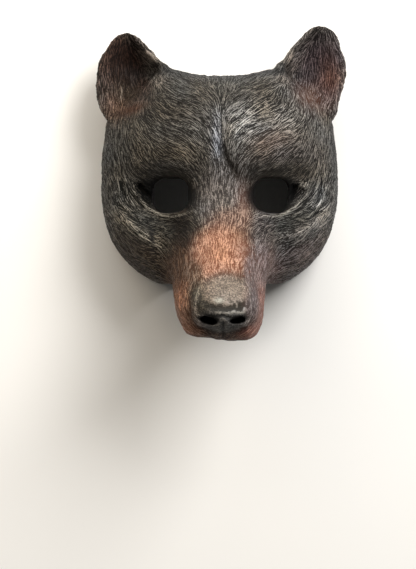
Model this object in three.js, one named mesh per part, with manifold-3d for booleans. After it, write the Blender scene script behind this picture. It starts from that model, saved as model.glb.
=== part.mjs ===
// A rigid bear mask that covers the upper face: one thin cast shell with its ears, pierced at the eyes
// and open behind and below the muzzle.
//
// The mask lies on its rear rim with its face up. Millimetres, +Z out of the face, +Y towards the ears
// and +X towards the viewer's right. The shell is designed round the eye line (x 0, y 0) with its rear
// rim at z 0. The finished mask is then set down with the middle of its base at the origin.

import * as THREE from "three";
import { LoftGeometry } from "three/addons/geometries/LoftGeometry.js";
import { mergeVertices } from "three/addons/utils/BufferGeometryUtils.js";
import Module from "manifold-3d";

// Driving dimensions
const faceWidth = 188; // across the cheeks
const leftFullness = 3; // the left cheek stands further out than the right by this much
const crownRise = 100; // eye line up to the top edge
const cheekDrop = 70; // eye line down to the lower edge of the cheeks
const chinSpare = 7; // the face's uncut form goes on this far below that edge
const faceDepth = 92; // rear rim to the brow
const muzzleReach = 76; // brow to the nose tip, forwards
const muzzleWidth = 70; // across the lips
const noseDrop = 88; // eye line down to the nose tip
const lipDrop = 111; // eye line down to the lowest edge of the lips
const lipDepth = 138; // rear rim to that edge
const mouthCornerDepth = 70; // rear rim to the corners of the mouth
const wall = 3.5; // thickness of the cast shell
const eyeSpacing = 78; // between the middles of the eye holes
const eyeHoleWidth = 29;
const eyeHoleHeight = 26;
const eyeHoleCorner = 9; // corner radius of an eye hole
const socketWidth = 54;
const socketHeight = 32;
const socketDepth = 13;
const socketOutset = 7; // a socket's middle lies this far outside its hole's
const noseWidth = 43;
const noseHeight = 23;
const noseStand = 4; // the nose pad stands proud of the muzzle by this much
const noseBulge = 14; // depth of the nose's rounded form
const nosePadDrop = 6; // nose tip down to the middle of the pad
const nostrilWidth = 12;
const nostrilHeight = 6.5;
const nostrilSpacing = 21;
const nostrilDepth = 9;
const nostrilDrop = 8; // nose tip down to the nostrils
const earLength = 81; // root inside the head to the tip, right ear
const shortEarLength = 77; // the same, left ear
const earWidth = 58;
const earCup = 27; // depth of an ear from its front edges to its back
const earBowl = 22; // depth of its bowl
const earWall = 4.5; // thickness behind the bowl, at the outer edge and at the tip
const earRidge = 13; // breadth of the raised inner edge at the root
const earRidgeRise = 2.5; // that edge stands forward by this much
const earSpacing = 138; // between the roots of the two ears
const earRootRise = 56; // eye line up to the roots
const earRootDepth = 50; // rear rim to the edges of an ear at its root
const earTurn = 10; // degrees that an ear's bowl faces outwards
const earSlope = 12; // degrees that an ear leans back

// How the form is worked out. The shares are of faceDepth.
const fullnessFade = 0.7; // the left cheek's fullness is gone between here and the brow
const reliefStart = 0.35; // swells and dents begin here
const reliefFull = 0.75; // and reach their full height here
const socketFirmness = 3; // 2 for a soft dish, more for a flat floor with a firm edge
const holeRoundness = 0.98; // an eye hole's corners take at most this share of its half breadth
const bowlBias = 0.62; // under 1, an ear's bowl is deepest near its inner edge

// Sampling
const shellSteps = 64; // points round each outer section
const shellRows = 48;
const hollowSteps = 48; // points round each section of the hollow
const hollowRows = 34;
const earSteps = 13; // points along each side of an ear's section
const earRows = 20;
const roundSteps = 24; // points round the nose
const nostrilSteps = 16;
const cornerSteps = 5;
const mouthSteps = 8;
const slopeStep = 0.004; // share of the form between the points that give its slope
const mergeDistance = 1e-3;

const halfFace = faceWidth / 2;
const halfMuzzle = muzzleWidth / 2;
const formDrop = cheekDrop + chinSpare;
const noseDepth = faceDepth + muzzleReach;
const cutSpare = 8; // uncut forms and cutters reach at least this far past a cut
const farReach = 4 * faceWidth; // long enough for a cutter to pass right through

// Sections of the face, from its rear rim to the root of the muzzle. topDepth and lowDepth are shares
// of faceDepth, top of crownRise, low of formDrop and wide of half the face's width. square shapes the
// upper half and lowSquare the lower, from 2 for an ellipse, and pinch narrows the top.
const faceSections = [
  { topDepth: 0.0, lowDepth: 0.0, top: 0.985, low: 0.98, wide: 0.99, square: 2.8, lowSquare: 2.5, pinch: 0 },
  { topDepth: 0.15, lowDepth: 0.13, top: 1.0, low: 1.0, wide: 1.0, square: 2.8, lowSquare: 2.5, pinch: 0 },
  { topDepth: 0.31, lowDepth: 0.27, top: 1.0, low: 1.0, wide: 1.0, square: 2.8, lowSquare: 2.5, pinch: 0 },
  { topDepth: 0.47, lowDepth: 0.4, top: 0.98, low: 1.0, wide: 0.985, square: 2.8, lowSquare: 2.5, pinch: 0 },
  { topDepth: 0.62, lowDepth: 0.52, top: 0.92, low: 1.0, wide: 0.94, square: 2.7, lowSquare: 2.5, pinch: 0 },
  { topDepth: 0.76, lowDepth: 0.61, top: 0.82, low: 1.0, wide: 0.86, square: 2.6, lowSquare: 2.5, pinch: 0 },
  { topDepth: 0.88, lowDepth: 0.69, top: 0.67, low: 1.01, wide: 0.75, square: 2.5, lowSquare: 2.5, pinch: 0 },
  { topDepth: 0.96, lowDepth: 0.75, top: 0.49, low: 1.03, wide: 0.63, square: 2.5, lowSquare: 2.5, pinch: 0.04 },
  { topDepth: 1.0, lowDepth: 0.79, top: 0.3, low: 1.05, wide: 0.53, square: 2.7, lowSquare: 2.6, pinch: 0.14 },
];

// Sections of the muzzle, from its root to the nose. topReach and lowReach are shares of muzzleReach
// in front of the brow, top of noseDrop, low of lipDrop and wide of half the muzzle's width.
const muzzleSections = [
  { topReach: 0.01, lowReach: -0.22, top: -0.1, low: 0.75, wide: 1.27, square: 3.2, lowSquare: 2.7, pinch: 0.27 },
  { topReach: 0.1, lowReach: -0.2, top: 0.1, low: 0.785, wide: 1.17, square: 3.7, lowSquare: 2.8, pinch: 0.31 },
  { topReach: 0.26, lowReach: -0.13, top: 0.32, low: 0.84, wide: 1.1, square: 4.2, lowSquare: 2.9, pinch: 0.31 },
  { topReach: 0.45, lowReach: 0.0, top: 0.52, low: 0.92, wide: 1.05, square: 4.4, lowSquare: 3.0, pinch: 0.3 },
  { topReach: 0.64, lowReach: 0.14, top: 0.7, low: 1.0, wide: 1.01, square: 4.2, lowSquare: 3.0, pinch: 0.3 },
  { topReach: 0.8, lowReach: 0.3, top: 0.81, low: 1.05, wide: 0.97, square: 3.8, lowSquare: 2.8, pinch: 0.29 },
  { topReach: 0.91, lowReach: 0.47, top: 0.89, low: 1.07, wide: 0.86, square: 3.4, lowSquare: 2.6, pinch: 0.26 },
  { topReach: 0.965, lowReach: 0.65, top: 0.965, low: 1.03, wide: 0.65, square: 2.8, lowSquare: 2.4, pinch: 0.2 },
  { topReach: 0.97, lowReach: 0.8, top: 1.03, low: 0.97, wide: 0.38, square: 2.4, lowSquare: 2.3, pinch: 0.1 },
];
const hollowEnd = 0.93; // share of all the sections that the hollow follows towards the nose

// Swells and dents of the face, the same on both sides. across and wide are shares of half the face's
// width, up and tall of crownRise and height of faceDepth. turn is in degrees.
const faceRelief = [
  { name: "brow", across: 0.47, up: 0.34, wide: 0.34, tall: 0.16, turn: 12, height: 0.075 },
  { name: "forehead lobe", across: 0.36, up: 0.68, wide: 0.34, tall: 0.22, turn: 0, height: 0.03 },
  { name: "forehead valley", across: 0, up: 0.56, wide: 0.1, tall: 0.3, turn: 0, height: -0.04 },
  { name: "cheekbone", across: 0.72, up: -0.25, wide: 0.3, tall: 0.12, turn: 38, height: 0.045 },
  { name: "under the eye", across: 0.6, up: -0.16, wide: 0.26, tall: 0.1, turn: 30, height: -0.03 },
  { name: "jowl", across: 0.66, up: -0.46, wide: 0.24, tall: 0.16, turn: 20, height: 0.05 },
  { name: "muzzle root", across: 0.52, up: -0.42, wide: 0.08, tall: 0.26, turn: -8, height: -0.05 },
];

// Sections of an ear, from its root to its tip. along is a share of the ear's length, wide and leftWide
// of earWidth, cup of earCup, bowl of earBowl and ridge of earRidge. lean and leftLean move the section
// outwards by a share of earWidth.
const earSections = [
  { along: 0, wide: 0.7, lean: -0.06, leftWide: 0.7, leftLean: -0.04, cup: 0.8, bowl: 0.1, ridge: 1 },
  { along: 0.2, wide: 0.86, lean: -0.01, leftWide: 0.9, leftLean: 0.02, cup: 1.0, bowl: 0.55, ridge: 1 },
  { along: 0.4, wide: 0.98, lean: 0.03, leftWide: 1.02, leftLean: 0.035, cup: 1.0, bowl: 1.0, ridge: 0.85 },
  { along: 0.56, wide: 0.98, lean: 0.05, leftWide: 1.0, leftLean: 0.03, cup: 0.92, bowl: 1.0, ridge: 0.65 },
  { along: 0.69, wide: 0.82, lean: 0.09, leftWide: 0.81, leftLean: 0.07, cup: 0.8, bowl: 0.85, ridge: 0.5 },
  { along: 0.8, wide: 0.66, lean: 0.12, leftWide: 0.63, leftLean: 0.08, cup: 0.66, bowl: 0.6, ridge: 0.42 },
  { along: 0.89, wide: 0.51, lean: 0.135, leftWide: 0.47, leftLean: 0.09, cup: 0.52, bowl: 0.3, ridge: 0.4 },
  { along: 0.95, wide: 0.37, lean: 0.145, leftWide: 0.35, leftLean: 0.095, cup: 0.4, bowl: 0.08, ridge: 0.4 },
  { along: 0.985, wide: 0.21, lean: 0.15, leftWide: 0.21, leftLean: 0.1, cup: 0.32, bowl: 0, ridge: 0.4 },
  { along: 1, wide: 0.07, lean: 0.155, leftWide: 0.07, leftLean: 0.105, cup: 0.24, bowl: 0, ridge: 0.4 },
];

// The edge under the mask seen from the side: along the cheeks, round the corner of the mouth and along
// the lips. corner and lip are shares of mouthCornerDepth and lipDepth, which add up to the depth. fall
// is a share of the way from the cheeks' edge down to the lips'.
const mouthEdge = [
  { corner: 0.72, lip: 0, fall: 0 },
  { corner: 1.05, lip: 0, fall: 0 },
  { corner: 1.2, lip: 0, fall: 0.2 },
  { corner: 0, lip: 0.93, fall: 0.84 },
  { corner: 0, lip: 1, fall: 1 },
  { corner: 0, lip: 1.06, fall: 1 },
];

const wasm = await Module();
wasm.setup();

// A smooth curve through one column's numbers, at place from 0 to 1.
function alongColumn(rows, column, place) {
  const spot = place * (rows.length - 1);
  const row = Math.min(Math.floor(spot), rows.length - 2);
  const share = spot - row;
  const at = (index) => rows[Math.max(0, Math.min(rows.length - 1, index))][column];
  const slopeIn = (at(row + 1) - at(row - 1)) / 2;
  const slopeOut = (at(row + 2) - at(row)) / 2;
  const squared = share * share;
  const cubed = squared * share;
  return (
    (2 * cubed - 3 * squared + 1) * at(row) +
    (cubed - 2 * squared + share) * slopeIn +
    (3 * squared - 2 * cubed) * at(row + 1) +
    (cubed - squared) * slopeOut
  );
}

// Both tables in millimetres. The first section goes on behind the rear rim.
const faceForms = faceSections.map((section) => ({
  ...section,
  top: section.top * crownRise,
  topDepth: section.topDepth * faceDepth,
  low: -section.low * formDrop,
  lowDepth: section.lowDepth * faceDepth,
  wide: section.wide * halfFace,
}));
const muzzleForms = muzzleSections.map((section) => ({
  ...section,
  top: -section.top * noseDrop,
  topDepth: faceDepth + section.topReach * muzzleReach,
  low: -section.low * lipDrop,
  lowDepth: faceDepth + section.lowReach * muzzleReach,
  wide: section.wide * halfMuzzle,
}));
const formSections = [
  { ...faceForms[0], topDepth: -cutSpare, lowDepth: -cutSpare },
  ...faceForms,
  ...muzzleForms,
];

// How strongly a rounded, turned patch on each side of the face acts at a point seen from the front.
function patchWeight(x, y, patch) {
  const angle = THREE.MathUtils.degToRad(patch.turn);
  const dx = Math.abs(x) - patch.across * halfFace;
  const dy = y - patch.up * crownRise;
  const along = (dx * Math.cos(angle) + dy * Math.sin(angle)) / (patch.wide * halfFace);
  const over = (dy * Math.cos(angle) - dx * Math.sin(angle)) / (patch.tall * crownRise);
  return Math.exp(-(along * along + over * over));
}

// How far the face stands proud of the plain sections at a point seen from the front.
function reliefAt(x, y) {
  let height = 0;
  for (const patch of faceRelief) height += patchWeight(x, y, patch) * patch.height * faceDepth;
  const out = (Math.abs(x) - eyeSpacing / 2 - socketOutset) / (socketWidth / 2);
  const up = y / (socketHeight / 2);
  return height - socketDepth * Math.exp(-(Math.hypot(out, up) ** socketFirmness));
}

// The uncut form's point at place along it, from rear to nose, and turn round it, both from 0 to 1.
function formPoint(place, turn) {
  const at = (column) => alongColumn(formSections, column, place);
  const angle = turn * 2 * Math.PI;
  const upper = Math.sin(angle) >= 0;
  const square = at(upper ? "square" : "lowSquare");
  const bulge = (Math.abs(Math.cos(angle)) ** square + Math.abs(Math.sin(angle)) ** square) ** (-1 / square);
  const rise = Math.sin(angle) * bulge;
  const narrowed = upper ? 1 - at("pinch") * rise * rise : 1;
  const plainX = at("wide") * Math.cos(angle) * bulge * narrowed;
  const y = (at("top") * (1 + rise) + at("low") * (1 - rise)) / 2;
  const z = (at("topDepth") * (1 + rise) + at("lowDepth") * (1 - rise)) / 2;
  const behindBrow = 1 - THREE.MathUtils.smoothstep(z, fullnessFade * faceDepth, faceDepth);
  const x = plainX < 0 ? plainX * (1 + (leftFullness / halfFace) * behindBrow) : plainX;
  const faceShare = THREE.MathUtils.smoothstep(z, reliefStart * faceDepth, reliefFull * faceDepth);
  return new THREE.Vector3(x, y, z + reliefAt(x, y) * faceShare);
}

// The same point moved inwards by depth, square to the surface.
function insetPoint(place, turn, depth) {
  const point = formPoint(place, turn);
  if (depth === 0) return point;
  const round = formPoint(place, turn + slopeStep).sub(formPoint(place, turn - slopeStep));
  const before = formPoint(Math.max(0, place - slopeStep), turn);
  const along = formPoint(Math.min(1, place + slopeStep), turn).sub(before);
  return point.sub(round.cross(along).normalize().multiplyScalar(depth));
}

function formGeometry(steps, rows, end, depth) {
  const sections = [];
  for (let row = 0; row <= rows; row++) {
    const section = [];
    const place = (end * row) / rows;
    for (let step = 0; step < steps; step++) section.push(insetPoint(place, step / steps, depth));
    sections.push(section);
  }
  return new LoftGeometry(sections, { closed: true, capStart: true, capEnd: true });
}

// How far behind its front edges the front of an ear lies, at across from -half at the inner edge to half
// at the outer one: a raised inner ridge, the bowl and a thin outer edge.
function earFront(across, half, ridge, bowl) {
  const ridgeBreadth = Math.min(ridge, half);
  const edgeBreadth = Math.min(earWall, half / 2);
  const fromInner = across + half;
  const share = (fromInner - ridgeBreadth) / (2 * half - ridgeBreadth - edgeBreadth);
  if (share <= 0) return -earRidgeRise * Math.sin((Math.PI * fromInner) / ridgeBreadth);
  return share < 1 ? bowl * Math.sin(Math.PI * share ** bowlBias) : 0;
}

// An ear: a cupped leaf that opens to the front. side is 1 for the viewer's right and -1 for the left.
function earGeometry(side) {
  const turn = THREE.MathUtils.degToRad(earTurn);
  const slope = Math.tan(THREE.MathUtils.degToRad(earSlope));
  const outwards = new THREE.Vector3(side * Math.cos(turn), 0, -Math.sin(turn));
  const forwards = new THREE.Vector3(side * Math.sin(turn), 0, Math.cos(turn));
  const length = side > 0 ? earLength : shortEarLength;
  const sections = [];
  for (let row = 0; row <= earRows; row++) {
    const at = (column) => alongColumn(earSections, column, row / earRows);
    const half = (at(side > 0 ? "wide" : "leftWide") * earWidth) / 2;
    const lean = at(side > 0 ? "lean" : "leftLean") * earWidth;
    const rise = at("along") * length;
    const cup = at("cup") * earCup;
    const fromMidline = side * (earSpacing / 2 + lean);
    const root = new THREE.Vector3(fromMidline, earRootRise + rise, earRootDepth - rise * slope);
    const section = [];
    const add = (across, back) => {
      section.push(root.clone().addScaledVector(outwards, across).addScaledVector(forwards, -back));
    };
    for (let step = 0; step <= earSteps; step++) {
      const angle = (Math.PI * step) / earSteps;
      add(-half * Math.cos(angle), cup * Math.sin(angle));
    }
    for (let step = earSteps - 1; step > 0; step--) {
      const angle = (Math.PI * step) / earSteps;
      const across = -half * Math.cos(angle);
      const back = cup * Math.sin(angle);
      const front = earFront(across, half, at("ridge") * earRidge, at("bowl") * earBowl);
      add(across, Math.min(front, back - Math.min(earWall, back / 2)));
    }
    sections.push(side > 0 ? section.reverse() : section);
  }
  return new LoftGeometry(sections, { closed: true, capStart: true, capEnd: true });
}

// Everything under the line from the rear rim to the corner of the mouth and on along the lips.
function mouthGeometry() {
  const points = mouthEdge.map(({ corner, lip, fall }) => {
    const drop = cheekDrop + fall * (lipDrop - cheekDrop);
    return new THREE.Vector2(corner * mouthCornerDepth + lip * lipDepth, -drop);
  });
  const [bendStart, bend, bendEnd, lipStart, lipBend, lipEnd] = points;
  const shape = new THREE.Shape();
  shape.moveTo(-cutSpare, -cheekDrop);
  shape.lineTo(bendStart.x, bendStart.y);
  shape.quadraticCurveTo(bend.x, bend.y, bendEnd.x, bendEnd.y);
  shape.lineTo(lipStart.x, lipStart.y);
  shape.quadraticCurveTo(lipBend.x, lipBend.y, lipEnd.x, lipEnd.y);
  shape.lineTo(noseDepth + cutSpare, -lipDrop);
  shape.lineTo(noseDepth + cutSpare, -lipDrop - faceDepth);
  shape.lineTo(-cutSpare, -lipDrop - faceDepth);
  const settings = { depth: farReach, bevelEnabled: false, curveSegments: mouthSteps };
  return new THREE.ExtrudeGeometry(shape, settings).rotateY(-Math.PI / 2).translate(farReach / 2, 0, 0);
}

function eyeHoleGeometry(side) {
  const across = eyeHoleWidth / 2;
  const up = eyeHoleHeight / 2;
  const corner = Math.min(eyeHoleCorner, holeRoundness * Math.min(across, up));
  const shape = new THREE.Shape();
  shape.absarc(across - corner, up - corner, corner, 0, Math.PI / 2);
  shape.absarc(corner - across, up - corner, corner, Math.PI / 2, Math.PI);
  shape.absarc(corner - across, corner - up, corner, Math.PI, 1.5 * Math.PI);
  shape.absarc(across - corner, corner - up, corner, 1.5 * Math.PI, 2 * Math.PI);
  const settings = { depth: farReach, bevelEnabled: false, curveSegments: cornerSteps };
  return new THREE.ExtrudeGeometry(shape, settings).translate((side * eyeSpacing) / 2, 0, 0);
}

function ovalGeometry(steps, width, height, depth) {
  return new THREE.SphereGeometry(1, steps, steps / 2).scale(width / 2, height / 2, depth);
}

function noseGeometry() {
  const pad = ovalGeometry(roundSteps, noseWidth, noseHeight, noseBulge);
  return pad.translate(0, -noseDrop - nosePadDrop, noseDepth - noseBulge);
}

function nostrilGeometry(side) {
  const pit = ovalGeometry(nostrilSteps, nostrilWidth, nostrilHeight, nostrilDepth);
  return pit.translate((side * nostrilSpacing) / 2, -noseDrop - nostrilDrop, noseDepth - noseStand);
}

function solidOf(geometry) {
  const bare = new THREE.BufferGeometry();
  bare.setAttribute("position", geometry.attributes.position);
  bare.setIndex(geometry.index);
  const merged = mergeVertices(bare, mergeDistance);
  return new wasm.Manifold(
    new wasm.Mesh({
      numProp: 3,
      vertProperties: new Float32Array(merged.attributes.position.array),
      triVerts: new Uint32Array(merged.index.array),
    }),
  );
}

function geometryOf(solid) {
  const mesh = solid.getMesh();
  const geometry = new THREE.BufferGeometry();
  geometry.setAttribute("position", new THREE.BufferAttribute(mesh.vertProperties, 3));
  geometry.setIndex(new THREE.BufferAttribute(mesh.triVerts, 1));
  geometry.computeVertexNormals();
  return geometry;
}

function maskGeometry() {
  const floor = new THREE.BoxGeometry(farReach, farReach, farReach).translate(0, 0, -farReach / 2);
  let solid = solidOf(formGeometry(shellSteps, shellRows, 1, 0)).add(solidOf(noseGeometry()));
  for (const side of [-1, 1]) solid = solid.add(solidOf(earGeometry(side)));
  solid = solid.subtract(solidOf(formGeometry(hollowSteps, hollowRows, hollowEnd, wall)));
  solid = solid.subtract(solidOf(mouthGeometry())).subtract(solidOf(floor));
  for (const side of [-1, 1]) {
    solid = solid.subtract(solidOf(eyeHoleGeometry(side))).subtract(solidOf(nostrilGeometry(side)));
  }
  return geometryOf(solid);
}

const resin = new THREE.MeshStandardMaterial({ color: 0x5c534b, roughness: 0.62, metalness: 0 });
const shell = new THREE.Mesh(maskGeometry(), resin);
shell.name = "mask_shell";

const mask = new THREE.Group();
mask.add(shell);
const box = new THREE.Box3().setFromObject(mask);
const middle = box.getCenter(new THREE.Vector3());
mask.position.set(-middle.x, -middle.y, -box.min.z);

export default mask;
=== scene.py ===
import math

import bpy
import numpy as np
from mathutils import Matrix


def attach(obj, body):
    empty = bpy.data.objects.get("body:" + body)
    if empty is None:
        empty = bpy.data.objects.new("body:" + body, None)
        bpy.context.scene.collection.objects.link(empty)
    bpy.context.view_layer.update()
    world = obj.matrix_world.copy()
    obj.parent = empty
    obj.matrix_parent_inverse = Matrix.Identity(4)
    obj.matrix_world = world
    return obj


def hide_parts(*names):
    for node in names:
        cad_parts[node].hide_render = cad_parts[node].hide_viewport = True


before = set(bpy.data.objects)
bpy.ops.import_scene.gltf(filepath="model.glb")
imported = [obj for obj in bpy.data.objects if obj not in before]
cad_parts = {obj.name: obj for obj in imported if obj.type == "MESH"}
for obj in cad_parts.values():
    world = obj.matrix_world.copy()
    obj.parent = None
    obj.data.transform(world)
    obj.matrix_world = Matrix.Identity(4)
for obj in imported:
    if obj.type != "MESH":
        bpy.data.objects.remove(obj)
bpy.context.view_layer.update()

# The carving is worked out in millimetres from the eye line: x 0 on the midline, y 0 at the eyes and
# z 0 at the rear rim.
MILLIMETRE = 0.001
MIDLINE = 0.0002
EYE_LINE = -0.013
EYE_LINE_POINT = np.array((MIDLINE, EYE_LINE, 0.0))

# The photograph's view: straight at the face, which lies on its rim and looks up.
PHOTO_HEIGHT = 569
FOCAL_PIXELS = 1625
SENSOR_HEIGHT = 24.0
CAMERA_PLACE = (-0.0106, -0.0838, 1.345)

# The fine copy of the shell: the grid that it is made on, in metres, and the most triangles that it may
# have. Where the share of the outside is below PLAIN_BELOW, the shell is plain inside.
VOXEL = 0.0012
MOST_TRIANGLES = 197000
PLAIN_BELOW = 0.02
# The rear rim stays flat: smoothing starts and is whole at these heights, and so does the carved fur.
ABOVE_RIM = (0.3, 6.0)
FUR_ABOVE_RIM = (0.2, 3)

# Carved hair, coarse to fine: the width and length of a stroke in millimetres, and the seed of its noise.
SEED = 20
TUFTS = (4.5, 20.0, SEED)
LOCKS = (2.2, 9.0, SEED + 1)
HAIRS = (1.1, 5.5, SEED + 2)
STUBBLE = (1.2, 3.0, SEED + 3)
TUFT_HEIGHT, LOCK_HEIGHT, HAIR_HEIGHT = 0.12, 0.10, 0.21
TUFT_PAINT, LOCK_PAINT, HAIR_PAINT = 0.02, 0.03, 0.055

# Other unevenness: the size of its bumps in millimetres, and its seed.
GRAIN = (2.4, SEED + 4)
TONE = (13.0, SEED + 5)
FINER_TONE = (5.0, SEED + 6)
SWAY = (11.0, SEED + 7)
FINER_SWAY = (5.5, SEED + 8)
WARMTH = (16.0, SEED + 9)
GRIT = (1.7, SEED + 10)
GRAIN_HEIGHT, GRIT_HEIGHT = 0.14, 0.5
# On the wrinkles of the nose the grit's peaks take strong light paint: small painted highlights.
GRAIN_PAINT, PAINTED_GRIT_GLINTS = 0.15, 2.4
SWAY_ANGLE = 0.24
TONE_SHARE, FINER_TONE_SHARE = 0.25, 0.2
WARMTH_COLOURS = (0.08, 0.0, -0.11)

# Hollows lose light paint, on the fur and on the nose, for each millimetre up to the most that counts.
HOLLOW_PAINT, MOST_HOLLOW = 0.45, 0.5
NOSE_HOLLOW_PAINT, MOST_NOSE_HOLLOW = 0.6, 0.4

# Steep walls have their hair swept back, and take less cover and a darker light coat.
SWEPT_BACK = 0.9
STEEP_COVER = 0.08
STEEP_DARKER = 0.4

# Farther than anything on the mask, and small enough not to count.
FAR = 1e9
TINY = 1e-9

# What scatters the bits of a lattice cell in hashed().
CELL_STEPS = (73856093, 19349663, 83492791)
SEED_STEP = 2654435761
SCATTERING = ((15, 2246822519), (13, 3266489917))
LOW_32_BITS = 0xFFFFFFFF
LOW_16_BITS = 0xFFFF
# How strong noise() is on the whole.
NOISE_STRENGTH = 0.42


def hashed(cells, seed):
    """A number from -1 to 1 for each cell of a lattice, the same on every run."""
    mixed = seed * SEED_STEP
    for column, step in enumerate(CELL_STEPS):
        mixed = mixed ^ cells[:, column] * step
    for shift, factor in SCATTERING:
        mixed = (mixed ^ (mixed >> shift)) * factor & LOW_32_BITS
    return ((mixed ^ (mixed >> 16)) & LOW_16_BITS) / (LOW_16_BITS / 2) - 1


def noise(points, size, seed):
    """Smooth noise from -1 to 1 with bumps about size across."""
    scaled = points / size
    cells = np.floor(scaled).astype(np.int64)
    share = scaled - cells
    share = share * share * (3 - 2 * share)
    total = np.zeros(len(points))
    for corner in np.ndindex(2, 2, 2):
        weight = np.prod(np.where(corner, share, 1 - share), axis=1)
        total += weight * hashed(cells + np.array(corner), seed)
    return total


def strokes(points, flow, width, length, seed):
    """Noise drawn out along the flow, like carved hair. It has an even strength of about 1."""
    reach = int(round(length / width / 2))
    total = np.zeros(len(points))
    for step in range(-reach, reach + 1):
        total += noise(points + flow * (step * width), width, seed)
    return total / (NOISE_STRENGTH * math.sqrt(2 * reach + 1))


def smooth(value, low, high):
    """0 below low, 1 above high and an even rise between."""
    share = np.clip((value - low) / (high - low), 0, 1)
    return share * share * (3 - 2 * share)


def hump(share, power=2):
    """1 at a share of 0 and less to both sides, flatter on top with a higher power."""
    return np.exp(-(share**power))


def patch(across, up, across_power=2, up_power=2):
    """A hump in both directions."""
    return np.exp(-(across**across_power) - up**up_power)


def path_distance(x, y, points):
    """Distance from each point to an open path, and how far along the path the nearest spot is, 0 to 1."""
    points = np.array(points, float)
    nearest = np.full(len(x), FAR)
    along = np.zeros(len(x))
    spans = np.hypot(*(points[1:] - points[:-1]).T)
    starts = np.concatenate(([0], np.cumsum(spans)))
    for start, end, span, before in zip(points[:-1], points[1:], spans, starts):
        step = end - start
        share = np.clip(((x - start[0]) * step[0] + (y - start[1]) * step[1]) / (span * span), 0, 1)
        distance = np.hypot(x - start[0] - share * step[0], y - start[1] - share * step[1])
        closer = distance < nearest
        nearest = np.where(closer, distance, nearest)
        along = np.where(closer, (before + share * span) / starts[-1], along)
    return nearest, along


def curve_through(points, pieces=6):
    """The points of a path with rounded bends through a few chosen points."""
    points = np.array(points, float)
    padded = np.vstack((2 * points[0] - points[1], points, 2 * points[-1] - points[-2]))
    bent = []
    for row in range(len(points) - 1):
        before, start, end, after = padded[row : row + 4]
        slope = end - before
        bend = 2 * before - 5 * start + 4 * end - after
        turn = 3 * start - before - 3 * end + after
        for share in np.arange(pieces) / pieces:
            bent.append(0.5 * (2 * start + slope * share + bend * share**2 + turn * share**3))
    bent.append(points[-1])
    return np.array(bent)


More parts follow.
